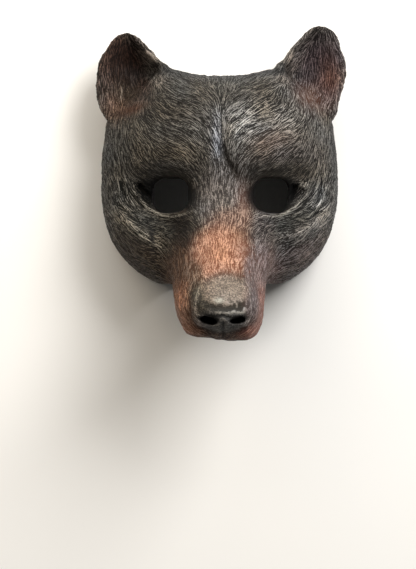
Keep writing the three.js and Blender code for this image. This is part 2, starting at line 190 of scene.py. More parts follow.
# Carved lines, in millimetres seen from the front. side is 1 for the viewer's right, -1 for the left
# and 0 for both, and every line is drawn as it is on the right. width is half the line's breadth, and a
# height below 0 is a groove. paint is the light paint that a line takes, or loses below 0.
CARVED_LINES = (
    # name, side, width, height, paint, points
    ("lower lid", 0, 0.85, 1.2, 0.36,
     ((23, -15), (33, -17), (44, -16.5), (54, -12), (62, -5.5), (68, 2), (70, 9))),
    ("under the lower lid", 0, 2.2, -1.4, -0.1,
     ((26, -20), (36, -21.5), (48, -20), (60, -13.5), (69, -5), (75, 4))),
    ("under the brow", 0, 2.6, -0.3, -0.05, ((22, 13), (33, 17), (44, 18), (56, 17), (68, 14))),
    ("corner of the eye", -1, 2.8, -3.4, -0.3, ((54, -3), (61, 2), (67, 8))),
    ("corner of the eye", 1, 2.2, -3.2, -0.3, ((54, -4), (58, 2), (59, 9))),
    ("lump in the corner", 1, 3.2, 2.4, 0.30, ((64, 5), (67, 9))),
    ("cheek ridge", 0, 4.0, 1.7, 0.06, ((89, 4), (86, -8), (78, -18), (66, -27), (53, -33), (42, -35))),
    ("cheek fold", 0, 2.4, -1.9, -0.15, ((84, -4), (78, -12), (68, -20), (57, -26), (46, -29))),
    ("second cheek fold", 0, 3.2, -1.3, -0.05, ((91, -12), (85, -24), (74, -33), (61, -40), (48, -44))),
    ("fold over the cheek", 0, 1.8, -1.0, -0.1, ((90, 14), (85, 4), (79, -4))),
    ("ridge beside the eye", 0, 1.0, 0.8, 0.22, ((75, 18), (75, 6), (71, -5), (62, -13), (52, -18.5))),
    ("groove beside the eye", 0, 1.0, -0.8, -0.25, ((78, 18), (78.5, 5), (74, -7), (65, -15.5), (55, -21))),
    ("outer ridge by the eye", 0, 1.0, 0.8, 0.22, ((81, 16), (81.5, 3), (77, -9), (68, -18), (58, -23.5))),
    ("forehead crease", 1, 0.9, -1.5, -0.3, ((-0.4, 64), (-0.4, 56), (-0.2, 48), (0.4, 36))),
    ("edge of the crease", 1, 0.9, 0.9, 0.22, ((1.2, 62), (1.2, 54), (1.5, 42))),
    ("second crease", 1, 0.9, -1.0, -0.25, ((2.8, 60), (2.7, 52), (2.9, 42))),
    ("foot of the crease", 1, 2.3, -3.2, -0.38, ((0.6, 42), (1.4, 33), (4.2, 24.5), (7.6, 18), (12, 10.5))),
    ("swell right of the crease", 1, 5.0, 1.6, 0, ((6.5, 60), (8, 46), (10, 34), (14, 24), (20, 16))),
    ("swell left of the crease", -1, 3.5, 1.3, 0.04, ((4, 62), (4.5, 46), (4, 32), (2, 20))),
    ("left brow fold", -1, 2.2, -1.4, -0.2, ((10, 44), (11, 34), (15, 25), (20, 18))),
    ("slanting crease", -1, 0.9, -0.7, -0.3, ((22, -29), (15, -25.5), (8, -21), (2, -19))),
    ("top of the nose", 1, 1.3, -0.8, -0.3, ((-14, -70), (-8, -65), (1, -62.5), (11, -63.5), (18, -67))),
    ("wrinkles of the nose", 1, 1.7, -0.9, -0.38,
     ((-12, -85), (-6, -87.5), (2, -87.5), (10, -87), (18, -85))),
    ("front edge of the nose", 1, 0.8, 1.2, 0.36,
     ((-6, -90), (0, -91), (5, -89.7), (9.5, -89), (14, -90), (17.5, -88.3))),
    ("under the front edge", 1, 1.2, -1.8, -0.3,
     ((-16, -90.5), (-9, -92.3), (0, -93), (9, -92.6), (18, -91))),
    ("left nose wing", -1, 1.0, 1.5, 0.20, ((16, -71), (18.5, -79), (20, -86), (19.5, -91), (16.5, -94))),
    ("right nose wing", 1, 1.0, 1.5, 0.16,
     ((21, -73), (22.4, -84), (22.8, -91), (20.6, -95.5), (15, -101), (9, -104))),
    ("ridge in the ear", -1, 1.4, 1.4, 0.16, ((79.5, 90), (81, 84), (81, 76))),
    ("groove in the ear", -1, 1.2, -1.4, -0.3, ((76.5, 91), (77.5, 85), (77, 78))),
    ("beside the nose wing", 0, 1.9, -1.8, 0,
     ((21.5, -70), (24, -79), (25, -90), (22.5, -99), (15, -105), (6, -107))),
    ("philtrum", 1, 0.9, -1.3, -0.15, ((0.7, -97), (0.0, -102), (0.4, -107), (-0.8, -113))),
    ("left nostril", -1, 2.0, -6.0, 0, ((4.5, -96), (8, -97), (11, -96), (16, -94.5))),
    ("right nostril", 1, 1.8, -6.0, 0, ((6.5, -96.3), (10, -96.6), (13.5, -95), (17, -94.2))),
)
# A line starts and ends at this share of its height, and is whole from this share of its length.
LINE_END = 0.25
LINE_TAPER = 0.18

# The paint. under is the dark coat in the recesses and over the light one dragged over the raised hair,
# both in linear red, green and blue, and cover is the share that the light coat takes. The first three
# are for what no zone covers. Each zone is an oval seen from the front, in millimetres and degrees, firm
# or soft at its edge, laid over those above it, and drawn as it is on the right.
UNDERCOAT = (0.012, 0.010, 0.008)
DRY_BRUSH = (0.112, 0.100, 0.080)
COVER = 0.38
ZONE_FADE = 0.7
# The plain paint on the inside. What a raised line adds to the light coat, and the most that counts.
INSIDE = (0.012, 0.011, 0.010)
RAISED_LINE = (0.40, 0.37, 0.31)
MOST_LINE_PAINT = 0.5
PAINT_ZONES = (
    # name, side, x, y, half width, half height, turn, firmness, under, over, cover
    # On the viewer's left the forehead and brow are painted darker than on the right: partly their own
    # colour, partly painted shade, as the light falls from the right.
    ("forehead", -1, 34, 60, 44, 34, 0, 2, (0.011, 0.0092, 0.00736), (0.0758, 0.0659, 0.0515), 0.32),
    ("forehead", 1, 36, 58, 40, 32, 0, 2, (0.0150, 0.0133, 0.0117), (0.215, 0.196, 0.172), 0.44),
    # The swell right of the crease is painted a light grey: partly its own dry-brushed colour, partly a
    # painted highlight.
    ("swell", 1, 14, 50, 10, 15, -30, 2, (0.018, 0.018, 0.018), (0.311, 0.303, 0.281), 0.54),
    ("brown patch", 1, 38, 39, 15, 8, 10, 2, (0.035, 0.024, 0.018), (0.144, 0.104, 0.0816), 0.5),
    ("brow", -1, 46, 27, 28, 11, 8, 2, (0.0115, 0.00864, 0.00576), (0.0843, 0.0695, 0.0495), 0.4),
    ("brow", 1, 50, 25, 28, 11, 8, 2, (0.018, 0.0144, 0.0126), (0.135, 0.113, 0.1), 0.44),
    ("between the brows", 1, 0, 30, 13, 22, 0, 2, (0.016, 0.0144, 0.0128), (0.133, 0.122, 0.107), 0.42),
    # Left of the crease the light bluish strokes are a painted sheen.
    ("left of the crease", -1, 4.0, 42, 3.5, 14, 0, 2, (0.02, 0.021, 0.025), (0.21, 0.22, 0.245), 0.50),
    ("temple", -1, 80, 0, 20, 26, 0, 2, (0.008, 0.008, 0.0064), (0.177, 0.162, 0.136), 0.33),
    ("temple", 1, 78, -4, 20, 24, 0, 2, (0.0096, 0.0096, 0.0096), (0.173, 0.166, 0.152), 0.4),
    ("side", 0, 97, 10, 13, 60, 0, 4, (0.0096, 0.0088, 0.008), (0.101, 0.0958, 0.0858), 0.32),
    # The hollow under the eye is painted a little darker: painted shade.
    ("hollow under the eye", 0, 54, -24, 22, 7, 25, 3, (0.008, 0.008, 0.007), (0.085, 0.082, 0.072), 0.36),
    # The lower cheek is also painted darker on the left: partly its own colour, partly painted shade.
    ("lower cheek", -1, 62, -54, 34, 18, 20, 3, (0.0154, 0.0099, 0.0066), (0.088, 0.0651, 0.044), 0.42),
    ("lower cheek", 1, 62, -54, 34, 18, 20, 3, (0.0264, 0.0192, 0.0168), (0.164, 0.127, 0.115), 0.46),
    ("ridge of the cheek", -1, 67, -29, 24, 2.8, 32, 2, (0.016, 0.0144, 0.0112), (0.30, 0.27, 0.215), 0.5),
    ("ridge of the cheek", 1, 66, -29, 22, 4.5, 32, 2, (0.02, 0.0192, 0.0184), (0.234, 0.216, 0.197), 0.54),
    # Beside the bridge on the left the paint is nearly black: painted shade on the side of the bridge away
    # from the light.
    ("beside the bridge", -1, 30, -32, 9, 24, 0, 4,
     (0.0064, 0.00448, 0.0032), (0.0175, 0.0131, 0.0088), 0.40),
    ("beside the bridge", 1, 30, -34, 10, 24, 0, 3, (0.019, 0.015, 0.015), (0.14, 0.125, 0.12), 0.44),
    # The left side of the muzzle is painted darker than the right: partly its own colour, partly painted
    # shade, as the light falls from the right.
    ("side of the muzzle", -1, 33, -68, 12, 24, 0, 4,
     (0.036, 0.0144, 0.00576), (0.0999, 0.0514, 0.0263), 0.50),
    ("side of the muzzle", 1, 33, -68, 12, 24, 0, 4, (0.085, 0.05, 0.042), (0.239, 0.172, 0.158), 0.50),
    ("lips", -1, 26, -94, 20, 24, 0, 6, (0.11, 0.042, 0.02), (0.311, 0.151, 0.0868), 0.50),
    ("lips", 1, 24, -97, 18, 24, 0, 6, (0.14, 0.055, 0.04), (0.287, 0.144, 0.109), 0.50),
    ("lips", 1, 0, -109, 15, 7, 0, 3, (0.040, 0.026, 0.020), (0.15, 0.095, 0.070), 0.45),
    ("upper bridge", 1, 0, -4, 19, 27, 0, 5, (0.0325, 0.0273, 0.024), (0.17, 0.148, 0.133), 0.54),
    ("reddish edge", 1, 16.5, -14, 5.0, 18, 0, 2, (0.0723, 0.034, 0.0238), (0.214, 0.148, 0.118), 0.50),
    ("top of the bridge", 1, 4, -22, 14, 8, 12, 3, (0.065, 0.034, 0.025), (0.22, 0.15, 0.12), 0.55),
    ("bridge", 1, -1.0, -48.5, 21.5, 21.5, -6, 6, (0.15, 0.0562, 0.03), (0.376, 0.209, 0.139), 0.70),
    # The nose's left edge is painted darker, and its right edge and right side lighter: partly their own
    # colour, partly painted shade and painted light.
    ("left edge of the nose", 1, -21, -63, 6, 10, 20, 4,
     (0.054, 0.0252, 0.0126), (0.168, 0.111, 0.076), 0.46),
    ("right edge of the nose", 1, 21, -63, 5, 14, 0, 4, (0.080, 0.052, 0.046), (0.24, 0.18, 0.165), 0.46),
    ("olive beside the nose", -1, 18, -79, 8, 10, -20, 4,
     (0.018, 0.015, 0.010), (0.080, 0.068, 0.047), 0.44),
    ("beside the nose", 1, -1.5, -90, 25, 14.5, 0, 6, (0.018, 0.016, 0.012), (0.080, 0.070, 0.056), 0.46),
    ("right of the nose", 1, 22, -84, 5, 14, 0, 4, (0.050, 0.038, 0.036), (0.15, 0.12, 0.115), 0.46),
    ("top of the nose", 1, 1.9, -74.5, 16, 12, 0, 6, (0.0723, 0.0592, 0.0477), (0.28, 0.219, 0.168), 0.58),
    # A small light spot on the top of the nose is a painted highlight.
    ("painted highlight on the nose", 1, -3.0, -82.3, 2.6, 1.6, 0, 2, (0.21, 0.194, 0.158), (0.48, 0.456, 0.372), 0.7),
    ("front of the nose", 1, 0.7, -97.5, 20, 8, 0, 6,
     (0.027, 0.0257, 0.0243), (0.0963, 0.0918, 0.0858), 0.46),
    # The nostrils are painted near black: painted shade in their hollows.
    ("left nostril", -1, 8.0, -97.0, 5.2, 2.8, -10, 5, (0.002, 0.002, 0.002), (0.002, 0.002, 0.002), 0.1),
    ("tail of the left nostril", -1, 13.0, -95.8, 5.0, 1.7, 12, 5,
     (0.002, 0.002, 0.002), (0.002, 0.002, 0.002), 0.1),
    ("right nostril", 1, 11.4, -96.2, 6.2, 2.2, 10, 5, (0.002, 0.002, 0.002), (0.002, 0.002, 0.002), 0.1),
    # The band under the brow has a lighter dark coat than the brow: partly its own smooth dark brown, partly
    # painted light against the brow's shadow.
    ("under the brow", 0, 45, 17.5, 27, 7.5, 3, 3, (0.022, 0.0195, 0.016), (0.075, 0.066, 0.054), 0.44),
    # The eye sockets are painted near black: painted shade in the recess around each eye hole.
    ("left eye socket", -1, 43, -0.5, 24.5, 12, 12, 8, (0.002, 0.002, 0.002), (0.002, 0.002, 0.002), 0.1),
    ("right eye socket", 1, 40, -0.8, 21, 12, 8, 8, (0.002, 0.002, 0.002), (0.002, 0.002, 0.002), 0.1),
    ("below the crown", 1, 0, 86, 56, 11, 0, 2, (0.012, 0.011, 0.0095), (0.10, 0.093, 0.08), 0.38),
    ("ear", -1, 80, 100, 24, 34, -12, 6, (0.0096, 0.0072, 0.0056), (0.103, 0.0606, 0.046), 0.36),
    ("ear", 1, 80, 100, 24, 34, -12, 6, (0.0112, 0.0096, 0.0096), (0.178, 0.155, 0.147), 0.36),
    ("inner rim of the ear", 0, 62, 112, 6, 22, -34, 3,
     (0.018, 0.0153, 0.0135), (0.288, 0.24, 0.204), 0.50),
    ("bowl of the ear", -1, 76, 106, 16, 24, -12, 4, (0.010, 0.005, 0.0035), (0.030, 0.014, 0.009), 0.42),
    ("bowl of the ear", 1, 78, 104, 16, 24, -12, 4,
     (0.0216, 0.0156, 0.0168), (0.0979, 0.0718, 0.0761), 0.44),
    ("foot of the bowl", -1, 80, 82, 14, 9, 0, 2, (0.0187, 0.013, 0.00864), (0.0475, 0.0371, 0.0262), 0.48),
    ("outer foot of the ear", -1, 87, 72, 8, 11, 0, 2, (0.028, 0.015, 0.010), (0.135, 0.088, 0.064), 0.46),
    ("red at the foot", -1, 71, 67.5, 9, 3.5, -14, 2, (0.030, 0.012, 0.006), (0.075, 0.037, 0.021), 0.50),
    ("inner foot of the rim", -1, 53.5, 100, 5, 11, -10, 3,
     (0.022, 0.019, 0.016), (0.22, 0.19, 0.155), 0.52),
    ("foot of the bowl", 1, 72, 80, 11, 9, -40, 2, (0.08, 0.0368, 0.024), (0.153, 0.117, 0.0997), 0.52),
    ("outer half of the bowl", 1, 88, 96, 7, 16, 0, 2, (0.038, 0.016, 0.013), (0.16, 0.085, 0.070), 0.46),
    # The crown's top edge is painted dark grey: painted shade, as the light doesn't fall from the crown's
    # side.
    ("edge of the crown", 1, 0, 101, 62, 8, 0, 4, (0.012, 0.012, 0.012), (0.036, 0.036, 0.036), 0.42),
)

# Which way the carved hair lies, seen from the front. Each row is drawn for the viewer's right and
# mirrored to the left: across and up in millimetres, angle in degrees, 0 outwards and 90 upwards.
HAIR = (
    (0, -75, 90), (14, -60, 90), (0, -40, 90), (16, -35, 88), (0, -10, 90), (17, -8, 88), (0, 15, 92),
    (13, 8, 85), (0, 40, 92), (12, 24, 60), (9, 45, 58), (0, 70, 90), (11, 66, 46), (0, 92, 90),
    (26, 22, 42), (22, 38, 44), (26, 58, 34), (24, 80, 36), (42, 22, 26), (46, 36, 34), (46, 55, 32),
    (48, 78, 48), (60, 20, 36), (66, 34, 50), (68, 52, 54), (66, 74, 60), (78, 12, 66), (84, 34, 78),
    (88, 58, 90), (90, 5, 76), (33, -24, 12), (46, -25, 8), (60, -21, 25), (74, -10, 48), (86, -10, 66),
    (36, -40, 55), (46, -42, 14), (60, -38, 20), (74, -28, 40), (85, -28, 58), (42, -56, 40), (54, -56, 4),
    (66, -50, 24), (78, -42, 46), (33, -60, 84), (34, -78, 84), (32, -95, 70), (26, -106, 30),
    (10, -110, 20),
    (46, 104, 62), (56, 116, 58), (68, 128, 58), (62, 95, 88), (62, 78, 90), (75, 70, 92), (76, 95, 88),
    (78, 115, 84), (78, 134, 70), (88, 76, 84), (95, 92, 88), (94, 112, 104), (87, 128, 122),
)
# How far around a row its angle counts, and where the two sides meet, in millimetres.
HAIR_REACH = 9.0
MEETING = (0, 8)


def hair_angle(x, y):
    """The lie of the hair as a unit vector seen from the front."""
    side = np.where(x < 0, -1.0, 1.0)
    across = np.abs(x)
    total = np.zeros((len(x), 2))
    for px, py, angle in HAIR:
        weight = np.exp(-((across - px) ** 2 + (y - py) ** 2) / (2 * HAIR_REACH * HAIR_REACH)) + TINY
        total[:, 0] += weight * math.cos(math.radians(angle))
        total[:, 1] += weight * math.sin(math.radians(angle))
    # Near the midline the two sides meet smoothly.
    total[:, 0] *= side * smooth(across, *MEETING)
    return total / np.linalg.norm(total, axis=1, keepdims=True)


class Shell:
    """A fine copy of the mask's shell, held as arrays in millimetres from the eye line."""

    def __init__(self, node, name):
        self.mesh = node.data.copy()
        self.mesh.materials.clear()
        self.object = bpy.data.objects.new(name, self.mesh)
        bpy.context.scene.collection.objects.link(self.object)
        self.apply("REMESH", mode="VOXEL", voxel_size=VOXEL)
        self.mesh.name = name

    def apply(self, kind, **settings):
        """Adds a modifier, keeps its result and reads the new mesh."""
        modifier = self.object.modifiers.new(kind, kind)
        for name, value in settings.items():
            setattr(modifier, name, value)
        depsgraph = bpy.context.evaluated_depsgraph_get()
        made = bpy.data.meshes.new_from_object(self.object.evaluated_get(depsgraph))
        self.object.modifiers.clear()
        self.object.data = made
        bpy.data.meshes.remove(self.mesh)
        self.mesh = made
        self.read()

    def read(self):
        """Takes the mesh's vertices and edges into arrays."""
        self.count = len(self.mesh.vertices)
        flat = np.empty(self.count * 3)
        self.mesh.vertices.foreach_get("co", flat)
        self.points = (flat.reshape(-1, 3) - EYE_LINE_POINT) / MILLIMETRE
        ends = np.empty(len(self.mesh.edges) * 2, dtype=np.int64)
        self.mesh.edges.foreach_get("vertices", ends)
        self.edges = ends.reshape(-1, 2)

    def thin_out(self, plain):
        """Merges faces where the shell is plain until the whole of it has no more than it may."""
        self.store()
        group = self.object.vertex_groups.new(name="plain")
        for vertex in np.flatnonzero(plain):
            group.add([int(vertex)], 1.0, "REPLACE")
        self.mesh.calc_loop_triangles()
        share = MOST_TRIANGLES / len(self.mesh.loop_triangles)
        if share < 1:
            self.apply("DECIMATE", ratio=share, vertex_group="plain", vertex_group_factor=10.0)
        self.object.vertex_groups.clear()

    def store(self):
        """Puts the points back into the mesh."""
        self.mesh.vertices.foreach_set("co", (self.points * MILLIMETRE + EYE_LINE_POINT).ravel())
        self.mesh.update()

    def normals(self):
        """The unit vector straight out of the surface at each vertex."""
        self.store()
        flat = np.empty(self.count * 3, dtype=np.float32)
        self.mesh.vertex_normals.foreach_get("vector", flat)
        return flat.reshape(-1, 3).astype(float)

    def averaged(self, values):
        """Each vertex's mean over its neighbours, for one column or three."""
        columns = values.reshape(self.count, -1)
        first, second = self.edges.T
        neighbours = np.bincount(first, minlength=self.count) + np.bincount(second, minlength=self.count)
        out = np.empty_like(columns)
        for column in range(columns.shape[1]):
            total = np.bincount(first, columns[second, column], self.count)
            total += np.bincount(second, columns[first, column], self.count)
            out[:, column] = total / neighbours
        return out.reshape(values.shape)

    def relax(self, rounds, amount):
        """Smooths the surface. amount is how far each vertex goes towards its neighbours, per vertex."""
        for _ in range(rounds):
            self.points += amount[:, None] * (self.averaged(self.points) - self.points)

    def spread(self, values, rounds):
        """The values averaged over the neighbours, round after round."""
        for _ in range(rounds):
            values = self.averaged(values)
        return values

    def attribute(self, name, values):
        """Stores one number or one vector for each vertex, for the material to read."""
        if values.ndim == 2:
            layer = self.mesh.attributes.new(name, "FLOAT_VECTOR", "POINT")
            layer.data.foreach_set("vector", values.ravel())
        else:
            layer = self.mesh.attributes.new(name, "FLOAT", "POINT")
            layer.data.foreach_set("value", values)


# What looks away from this line, which runs from the mask's hollow to the nose, is outside.
SPINE = ((0, 15, 0), (0, 10, 45), (0, -60, 100), (0, -88, 140))
# The rounded outline of the face seen from the front. Above the eyes, the ears lie beyond it.
FACE_HALF_WIDTH = 93
FACE_HALF_HEIGHT = 88
FACE_MIDDLE = 12
FACE_POWER = 2.8
BEYOND_FACE = 1.02
# The middle and the reach of the outer wall of an eye socket.
SOCKET_WALL = (52, 3)
SOCKET_WALL_REACH = 16


def outside_share(points, normals):
    """1 on the carved outside, 0 on the plain inside of the shell."""
    spine = np.array(SPINE, float)
    best = np.full(len(points), FAR)
    core = np.zeros_like(points)
    for start, end in zip(spine[:-1], spine[1:]):
        step = end - start
        share = np.clip((points - start) @ step / (step @ step), 0, 1)
        spot = start + share[:, None] * step
        distance = np.linalg.norm(points - spot, axis=1)
        closer = distance < best
        best = np.where(closer, distance, best)
        core = np.where(closer[:, None], spot, core)
    away = points - core
    away /= np.linalg.norm(away, axis=1, keepdims=True)
    facing = np.sum(away * normals, axis=1)
    across, up = np.abs(points[:, 0]), points[:, 1]
    outline = (across / FACE_HALF_WIDTH) ** FACE_POWER
    outline += (np.abs(up - FACE_MIDDLE) / FACE_HALF_HEIGHT) ** FACE_POWER
    beyond = (outline > BEYOND_FACE) & (up > 0)
    # The outer wall of an eye socket looks back at the midline but belongs to the outside.
    socket = smooth(SOCKET_WALL_REACH - np.hypot(across - SOCKET_WALL[0], up - SOCKET_WALL[1]), 0, 4)
    outside = np.maximum(smooth(facing, -0.15, 0.15), socket * smooth(normals[:, 2], 0.0, 0.25))
    return np.where(beyond, 1.0, outside)


def carve_lines(shell, outside):
    """Cuts the folds, lids, creases and the nose into the smooth form, and gives the paint on them."""
    normals = shell.normals()
    x, y = shell.points[:, 0], shell.points[:, 1]
    front = smooth(normals[:, 2], 0.0, 0.35) * outside
    height = np.zeros(shell.count)
    paint = np.zeros(shell.count)
    for _, side, width, rise, light, points in CARVED_LINES:
        path = curve_through(points)
        for mirror in ((1, -1) if side == 0 else (side,)):
            distance, along = path_distance(x * mirror, y, path)
            taper = smooth(along, 0, LINE_TAPER) * smooth(1 - along, 0, LINE_TAPER)
            line = (LINE_END + (1 - LINE_END) * taper) * hump(distance / width)
            height += rise * line
            paint += light * line
    shell.points += normals * (height * front)[:, None]
    return paint * front


def make_uneven(shell):
    """Shifts the smooth form a few millimetres, because the hand-made mask is uneven: the muzzle, lips,
    nostrils, eye holes, crown and the outer edges of the ears."""
    x, y, z = shell.points.T
    across = np.abs(x)
    nose_end = smooth(z, 125, 140)

    # Outwards: the right of the muzzle is narrower, and the ears have full feet and unlike edges.
    muzzle = smooth(-y, 50, 68) * smooth(z, 38, 62)
    right = 4.2 * smooth(x, 14, 32) * muzzle
    foot = 3.4 * hump((y - 64) / 11) * smooth(across, 76, 92) * np.sign(x)
    left_ear = 1.8 * smooth(y, 66, 80) * smooth(-x, 78, 94) + 2.4 * smooth(y, 96, 114) * smooth(-x, 50, 66)
    right_ear = (0.6 + 2.4 * smooth(x, 62, 84)) * hump((y - 110) / 12) * smooth(x, 46, 60)
    right_ear += 3.0 * smooth(y, 116, 128) * smooth(x, 46, 60)

    # Upwards or down: the nostrils, the lips, the top edge of the crown and the right ear's tip.
    nostrils = -1.4 * patch((across - 10) / 9, (y + 96) / 6, 4, 4) * nose_end
    lips = 1.0 * hump((x + 1) / 3.2) + 2.2 * smooth(-x, 2, 9) - 1.6
    crown = 6.5 * hump((across - 42) / 15) - 2.5 * hump(x / 26)
    ear_tip = 1.8 * smooth(y, 108, 128) * smooth(x, 40, 60)

    # The eye holes are lower and narrower, the nostrils flatter and the left corner of the lips further in.
    hole = hump(np.hypot(across - 40, y) / 23, 4) * smooth(z, 20, 40)
    narrowed = (2.2 * smooth(x, -46, -30) * (x < 0) + 2.4 * smooth(x, 44, 54)) * hole
    flattened = np.where(x > 0, 0.42, 0.16) * (y + 96.6) * patch((across - 10) / 8, (y + 97) / 8, 4, 4)
    corner = patch((x + 32) / 8, (y + 101) / 9)

    shell.points[:, 0] += foot - right - left_ear + right_ear - narrowed + 2.0 * corner
    shell.points[:, 1] += lips * smooth(-y, 98, 108) + nostrils - 1.8 * hole + corner - flattened * nose_end
    shell.points[:, 1] += ear_tip + crown * smooth(y, 66, 92) * (1 - smooth(y, 94, 112))


def paint_coats(shell, normals, outside):
    """The dark and light coats' colours and the light one's cover, for each vertex."""
    x, y = shell.points[:, 0], shell.points[:, 1]
    under = np.tile(UNDERCOAT, (shell.count, 1))
    over = np.tile(DRY_BRUSH, (shell.count, 1))
    cover = np.full(shell.count, COVER)
    for _, side, px, py, wide, tall, turn, firmness, zone_under, zone_over, zone_cover in PAINT_ZONES:
        angle = math.radians(turn)
        for mirror in ((1, -1) if side == 0 else (side,)):
            dx, dy = x * mirror - px, y - py
            along = (dx * math.cos(angle) + dy * math.sin(angle)) / wide
            across = (dy * math.cos(angle) - dx * math.sin(angle)) / tall
            weight = np.exp(-ZONE_FADE * np.hypot(along, across) ** firmness)
            under += weight[:, None] * (np.array(zone_under) - under)
            over += weight[:, None] * (np.array(zone_over) - over)
            cover += weight * (zone_cover - cover)
    # Steep walls take less of the light coat.
    steep = smooth(1 - normals[:, 2], 0.45, 1.0) * smooth(40 - y, -60, 20)
    cover -= STEEP_COVER * steep
    tone = 1 + TONE_SHARE * noise(shell.points, *TONE) + FINER_TONE_SHARE * noise(shell.points, *FINER_TONE)
    warmth = noise(shell.points, *WARMTH)[:, None] * np.array(WARMTH_COLOURS)
    over *= (tone * (1 - STEEP_DARKER * steep))[:, None] * (1 + warmth)
    under += (1 - outside)[:, None] * (np.array(INSIDE) - under)
    return under, over, cover * outside


def fine_form():
    """The solid's own form on a fine grid, smoothed, with larger faces on its plain inside."""
    shell = Shell(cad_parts["mask_shell"], "carved_face")
    rim = smooth(shell.points[:, 2], *ABOVE_RIM)
    shell.relax(10, 0.5 * rim)
    outside = shell.spread(outside_share(shell.points, shell.normals()), 2)
    shell.thin_out(shell.spread(outside, 4) < PLAIN_BELOW)
    return shell


def lie_of_hair(points, normals):
    """Unit vectors along the carved hair, in the surface."""
    sway = SWAY_ANGLE * noise(points, *SWAY) + SWAY_ANGLE * noise(points, *FINER_SWAY)
    lie = hair_angle(points[:, 0], points[:, 1])
    lie = np.column_stack((
        lie[:, 0] * np.cos(sway) - lie[:, 1] * np.sin(sway),
        lie[:, 0] * np.sin(sway) + lie[:, 1] * np.cos(sway),
    ))
    # On steep walls the hair is swept back to the rim.
    backwards = -SWEPT_BACK * smooth(1 - normals[:, 2], 0.15, 0.9)
    flow = np.column_stack((lie, backwards))
    flow -= normals * np.sum(flow * normals, axis=1, keepdims=True)
    flow /= np.linalg.norm(flow, axis=1, keepdims=True) + TINY
    return flow


def face_regions(points):
    """How much each vertex is on the nose, the bridge above it, an eye socket or the lips, from 0 to 1."""
    x, y, z = points.T
    nose = hump(np.hypot((x - 0.7) / 24, (y + 86) / 24), 8) * smooth(z, 120, 135)
    bridge = hump(x / 24, 4) * smooth(-y, -20, 0) * (1 - nose)
    to_hole = np.minimum(np.hypot(x - 39, y), np.hypot(x + 39, y))
    socket = 1 - smooth(to_hole, 14, 21)
    lips = smooth(-y, 76, 98) * (1 - nose)
    return nose, bridge, socket, lips


def carve_fur(shell, outside, line_paint):
    """Carves the hair and the grain of the nose, and stores what the paint needs at each vertex."""
    x, y, z = shell.points.T
    normals = shell.normals()
    flow = lie_of_hair(shell.points, normals)
    nose, bridge, socket, lips = face_regions(shell.points)
    hairy = outside * (1 - nose) * (1 - 0.8 * socket) * (1 - 0.35 * lips)

    tufts = strokes(shell.points, flow, *TUFTS)
    locks = strokes(shell.points, flow, *LOCKS)
    hairs = strokes(shell.points, flow, *HAIRS)
    stubble = strokes(shell.points, flow, *STUBBLE)
    hairs += bridge * (stubble - hairs)
    height = TUFT_HEIGHT * tufts + LOCK_HEIGHT * locks + HAIR_HEIGHT * hairs
    height = height * (1 - 0.5 * bridge) * hairy
    grain = noise(shell.points, *GRAIN)
    wrinkled = patch((x - 8) / 12, (y + 87) / 3, 4, 2)
    grit = noise(shell.points, *GRIT)
    height += (GRAIN_HEIGHT * grain + GRIT_HEIGHT * wrinkled * grit) * nose
    shell.points += normals * (height * smooth(z, *FUR_ABOVE_RIM))[:, None]

    # Raised spots take more of the light coat, hollows less.
    normals = shell.normals()
    hollow = np.sum((shell.spread(shell.points, 5) - shell.points) * normals, axis=1)
    ridges = HAIR_PAINT * hairs + LOCK_PAINT * locks + TUFT_PAINT * tufts
    ridges = ridges - HOLLOW_PAINT * np.clip(hollow, -MOST_HOLLOW, MOST_HOLLOW)
    # The grit on the wrinkles of the nose adds light paint at its peaks: small painted highlights.
    on_nose = GRAIN_PAINT * grain + PAINTED_GRIT_GLINTS * wrinkled * grit
    on_nose = on_nose - NOSE_HOLLOW_PAINT * np.clip(hollow, -MOST_NOSE_HOLLOW, MOST_NOSE_HOLLOW)
    ridges = ridges * (1 - nose) + nose * on_nose
    ridges += line_paint
    under, over, cover = paint_coats(shell, normals, outside)
    over += np.clip(line_paint, 0, MOST_LINE_PAINT)[:, None] * RAISED_LINE

    # The painted strokes are drawn out less where the hair is short.
    short = np.maximum(bridge, nose)
    drawn_out = 1 - 0.35 * bridge - 0.7 * nose - 0.3 * smooth(-y, 50, 70) * (1 - short)
    # A glossy coat, which also makes the painted glints stronger: the right forehead, the right temple, the
    # right ear's inner edge and the wrinkles.
    satin_and_painted_glints = patch((x - 14) / 12, (y - 50) / 16) + patch((x - 82) / 9, (y + 4) / 20)
    satin_and_painted_glints += patch((x - 56) / 7, (y - 102) / 12) + wrinkled
    shell.attribute("lie", flow * drawn_out[:, None])
    shell.attribute("under", under)
    shell.attribute("over", over)
    shell.attribute("brushing", cover - 0.5 + ridges)
    shell.attribute("hairy", hairy * (1 - 0.55 * bridge))
    shell.attribute("grainy", 0.2 + 0.8 * short)
    shell.attribute("dull", socket)
    shell.attribute("satin_and_painted_glints", satin_and_painted_glints)
    shell.attribute("specks", bridge * smooth(-y, 26, 40) * (0.4 + 0.6 * smooth(x, 0, 14)))


def make_shell():
    """The whole piece: the fine form with its carved lines, its unevenness and its fur."""
    shell = fine_form()
    rim = smooth(shell.points[:, 2], *ABOVE_RIM)
    shell.points[:, 2] = np.maximum(shell.points[:, 2], 0.0)
    outside = shell.spread(outside_share(shell.points, shell.normals()), 2)
    # The ears grow softly out of the face, and the ears themselves are smoother than the rest.
    x, y = shell.points[:, 0], shell.points[:, 1]
    ear_root = patch((np.abs(x) - 68) / 22, (y - 86) / 13, 4, 4)
    shell.relax(50, 0.5 * ear_root * outside)
    shell.relax(14, 0.5 * smooth(y, 94, 104))
    line_paint = carve_lines(shell, outside)
    make_uneven(shell)
    shell.relax(1, 0.4 * rim)
    carve_fur(shell, outside, line_paint)
    shell.store()
    for polygon in shell.mesh.polygons:
        polygon.use_smooth = True
    return shell


